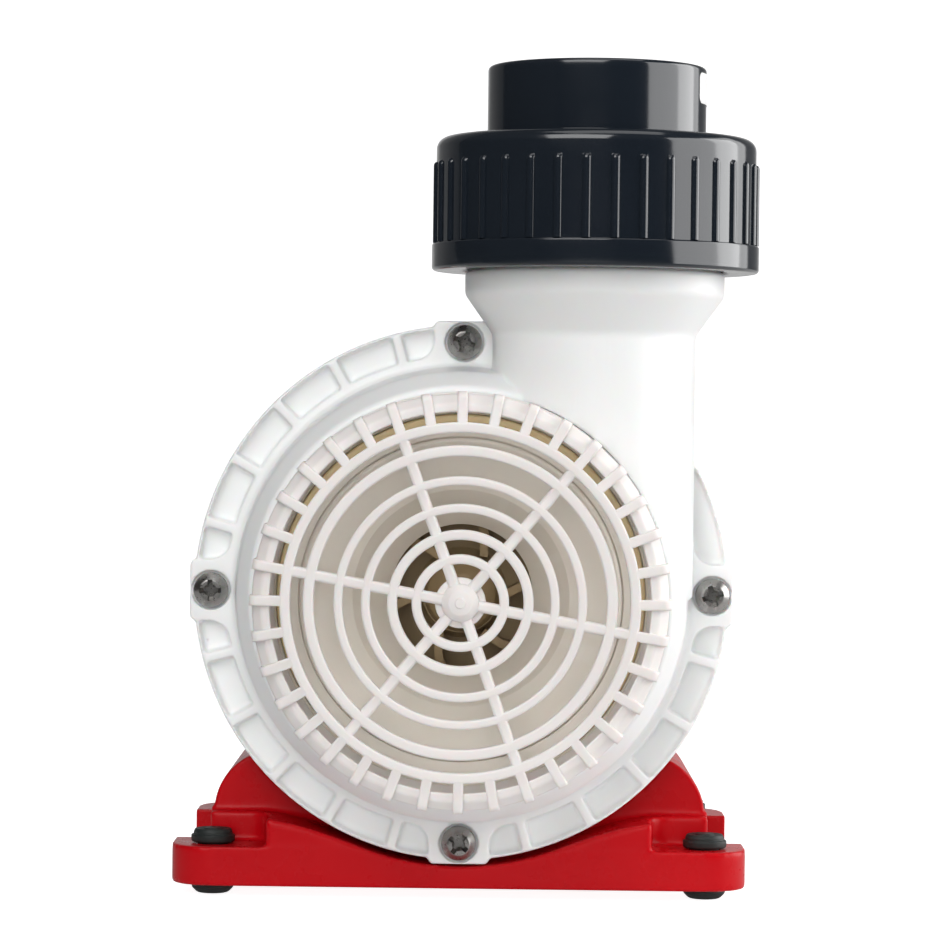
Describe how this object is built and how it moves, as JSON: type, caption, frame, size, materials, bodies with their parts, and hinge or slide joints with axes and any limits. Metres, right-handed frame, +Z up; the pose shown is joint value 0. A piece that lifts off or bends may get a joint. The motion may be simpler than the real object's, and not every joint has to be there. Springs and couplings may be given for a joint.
{
  "type": "aquarium return pump",
  "caption": "Centrifugal aquarium pump with a front intake strainer, a scroll housing with an upright pipe union and a red cradle on rubber feet.",
  "frame": {"origin": "centre of the bounding box's footprint, on the surface that the rubber feet stand on", "axes": "+Z up; the intake strainer faces -Y and the motor is towards +Y; +X is to the right of someone who faces the intake"},
  "size_m": [0.127, 0.1544, 0.1819],
  "materials": {
    "housing_white": "satin moulded ABS, white",
    "strainer_white": "satin moulded ABS, warm white",
    "plate_beige": "satin moulded plastic, beige",
    "seal_amber": "amber elastomer",
    "union_grey": "glossy PVC, dark slate grey",
    "cradle_red": "glossy moulded plastic, red",
    "foot_rubber": "matt black rubber",
    "stainless": "turned stainless steel",
    "impeller_brown": "satin moulded plastic, brown",
    "ceramic": "polished alumina",
    "magnet_black": "moulded black",
    "core_steel": "laminated steel edge",
    "copper": "enamelled copper winding",
    "can_grey": "dark grey moulded plastic"
  },
  "bodies": {
    "pump": {"volute_housing": "housing_white", "intake_plate": "plate_beige", "intake_seal": "seal_amber", "front_bearing": "ceramic", "rear_bearing": "ceramic", "bearing_carrier": "can_grey", "separation_can": "can_grey", "stator_core": "core_steel", "motor_housing": "cradle_red", "rear_cover": "cradle_red", "housing_seal": "foot_rubber", "cover_seal": "foot_rubber", "gland_body": "magnet_black", "gland_nut": "magnet_black", "union_end": "union_grey", "union_seal": "foot_rubber", "base_cradle": "cradle_red", "coil_1": "copper", "coil_2": "copper", "coil_3": "copper", "coil_4": "copper", "coil_5": "copper", "coil_6": "copper", "housing_screw_1": "stainless", "cover_screw_1": "stainless", "housing_screw_2": "stainless", "cover_screw_2": "stainless", "housing_screw_3": "stainless", "cover_screw_3": "stainless", "housing_screw_4": "stainless", "cover_screw_4": "stainless", "cradle_screw_1": "stainless", "cradle_screw_2": "stainless", "foot_front_left": "foot_rubber", "foot_front_right": "foot_rubber", "foot_rear_left": "foot_rubber", "foot_rear_right": "foot_rubber"},
    "rotor": {"impeller": "impeller_brown", "impeller_nut": "impeller_brown", "shaft": "ceramic", "thrust_washer": "ceramic", "rotor_sleeve": "can_grey", "rotor_magnet": "magnet_black"},
    "union_nut": {"union_nut": "union_grey"},
    "strainer": {"intake_strainer": "strainer_white"}
  },
  "joints": [
    {"name": "rotor_spin", "type": "hinge", "parent": "pump", "child": "rotor", "pos_m": [0, -0.03, 0.0674], "axis": [0, 1, 0], "continuous": true},
    {"name": "union_nut_turn", "type": "hinge", "parent": "pump", "child": "union_nut", "pos_m": [0.0281, -0.038, 0.1514], "axis": [0, 0, 1], "continuous": true},
    {"name": "strainer_pull", "type": "slide", "parent": "pump", "child": "strainer", "axis": [0, -1, 0], "range_m": [0, 0.03]}
  ]
}
